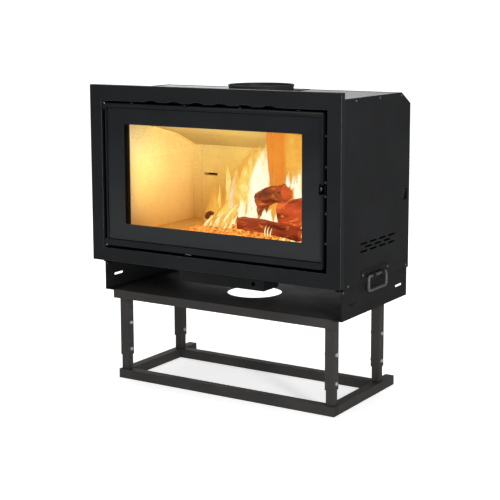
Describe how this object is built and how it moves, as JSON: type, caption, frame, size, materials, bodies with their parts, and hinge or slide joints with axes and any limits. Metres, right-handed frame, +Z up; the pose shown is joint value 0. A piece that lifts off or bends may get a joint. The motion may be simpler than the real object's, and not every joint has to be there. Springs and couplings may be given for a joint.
{
  "type": "wood burning stove",
  "caption": "Fireplace insert with a wide glazed side-hinged door, black sheet casing, round flue collar, refractory-lined firebox and a height-adjustable tube stand.",
  "frame": {"origin": "middle of the footprint on the floor, under the centre of the overall box", "axes": "+X to the viewer's right facing the door, -Y out of the door, +Z up"},
  "size_m": [0.9144, 0.4716, 0.96],
  "materials": {
    "casing_steel": "satin black stove paint",
    "stand_steel": "brown-black powder coat",
    "galvanised_sheet": "galvanised",
    "firebox_steel": "heat-darkened steel",
    "refractory": "matt vermiculite board",
    "cast_iron": "rough cast",
    "ceramic_glass": "clear ceramic glass with a black printed border",
    "seal_rope": "braided glass-fibre rope",
    "machined_steel": "bright steel",
    "zinc_fastener": "zinc plated",
    "handle_rod": "satin grey coated rod",
    "bracket_steel": "satin black",
    "black_plastic": "moulded"
  },
  "bodies": {
    "stand_base": {"base_crossbar_front": "stand_steel", "base_crossbar_rear": "stand_steel", "base_rail_right": "stand_steel", "base_rail_left": "stand_steel", "lower_leg_front_left": "stand_steel", "lower_leg_front_right": "stand_steel", "lower_leg_rear_left": "stand_steel", "lower_leg_rear_right": "stand_steel", "base_end_plugs": "black_plastic"},
    "door": {"door_frame": "casing_steel", "door_trim": "casing_steel", "door_glass": "ceramic_glass", "glass_seal": "seal_rope", "door_seal": "seal_rope", "door_screws": "zinc_fastener", "hinge_leaves": "casing_steel", "latch_housing": "casing_steel", "latch_pin": "machined_steel"},
    "latch": {"latch_lever": "machined_steel"},
    "air_control": {"air_slider": "galvanised_sheet"},
    "handle_right": {"lift_handle_right": "handle_rod"},
    "handle_left": {"lift_handle_left": "handle_rod"},
    "stove": {"stand_tray": "stand_steel", "upper_leg_front_left": "stand_steel", "upper_leg_front_right": "stand_steel", "upper_leg_rear_left": "stand_steel", "upper_leg_rear_right": "stand_steel", "leg_bolts": "zinc_fastener", "leg_nuts": "zinc_fastener", "casing_screws": "zinc_fastener", "skirt_right": "casing_steel", "skirt_left": "casing_steel", "side_panel_right": "casing_steel", "side_panel_left": "casing_steel", "front_frame": "casing_steel", "frame_neck": "casing_steel", "front_plate": "casing_steel", "primary_air_box": "casing_steel", "flue_collar": "casing_steel", "flue_flange": "casing_steel", "hinge_brackets": "casing_steel", "strike_plate": "casing_steel", "body_floor": "galvanised_sheet", "back_panel": "galvanised_sheet", "top_panel": "galvanised_sheet", "air_inlet_spigot": "galvanised_sheet", "air_duct": "galvanised_sheet", "ash_pan": "galvanised_sheet", "firebox_shell": "firebox_steel", "baffle_rails": "firebox_steel", "lining_right": "refractory", "lining_left": "refractory", "lining_back": "refractory", "hearth_slab": "refractory", "baffle_boards": "refractory", "fire_grate": "cast_iron", "hinge_pins": "machined_steel", "hinge_washers": "machined_steel", "lift_bracket_right": "bracket_steel", "lift_bracket_left": "bracket_steel"}
  },
  "joints": [
    {"name": "stand_height", "type": "slide", "parent": "stand_base", "child": "stove", "axis": [0, 0, 1], "range_m": [0, 0.07]},
    {"name": "door_hinge", "type": "hinge", "parent": "stove", "child": "door", "pos_m": [-0.398, -0.23075, 0.678], "axis": [0, 0, -1], "range_deg": [0, 100]},
    {"name": "latch_pivot", "type": "hinge", "parent": "door", "child": "latch", "pos_m": [0.3815, -0.21575, 0.684], "axis": [1, 0, 0], "range_deg": [0, 20]},
    {"name": "air_slide", "type": "slide", "parent": "stove", "child": "air_control", "axis": [1, 0, 0], "range_m": [-0.03, 0.04]},
    {"name": "lift_handle_right_swing", "type": "hinge", "parent": "stove", "child": "handle_right", "pos_m": [0.449, 0.00125, 0.407], "axis": [0, -1, 0], "range_deg": [0, 90]},
    {"name": "lift_handle_left_swing", "type": "hinge", "parent": "stove", "child": "handle_left", "pos_m": [-0.449, 0.00125, 0.407], "axis": [0, 1, 0], "range_deg": [0, 90]}
  ]
}
